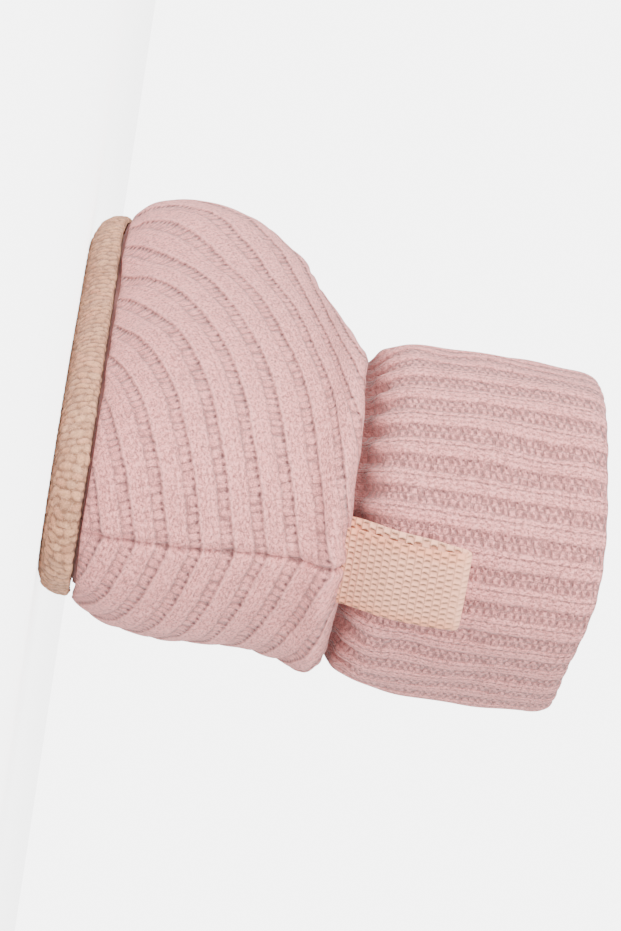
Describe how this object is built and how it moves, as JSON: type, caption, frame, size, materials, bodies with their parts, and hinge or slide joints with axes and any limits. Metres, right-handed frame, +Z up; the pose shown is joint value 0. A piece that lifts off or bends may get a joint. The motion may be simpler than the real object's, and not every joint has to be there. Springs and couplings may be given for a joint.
{
  "type": "bootie slipper",
  "caption": "Small knitted bootie slipper with a padded woven-cloth sole, a hollow ribbed upper, a turned ankle cuff and a short ribbon loop at the heel",
  "frame": {"origin": "on the flat underside of the sole, on its middle line, halfway between heel and toe", "axes": "+X to the toe, +Y to the wearer's left, +Z up out of the collar"},
  "size_m": [0.1173, 0.0703, 0.093],
  "materials": {
    "outsole": "nubby woven cloth, padded, matt",
    "insole": "soft brushed cloth, matt",
    "upper": "wide rib knit, slightly fuzzy",
    "cuff": "rib knit folded over, slightly fuzzy",
    "pull_loop": "close woven ribbon, low sheen"
  },
  "bodies": {
    "root": {"outsole": "outsole", "insole": "insole", "upper": "upper", "cuff": "cuff", "pull_loop": "pull_loop"}
  },
  "joints": []
}
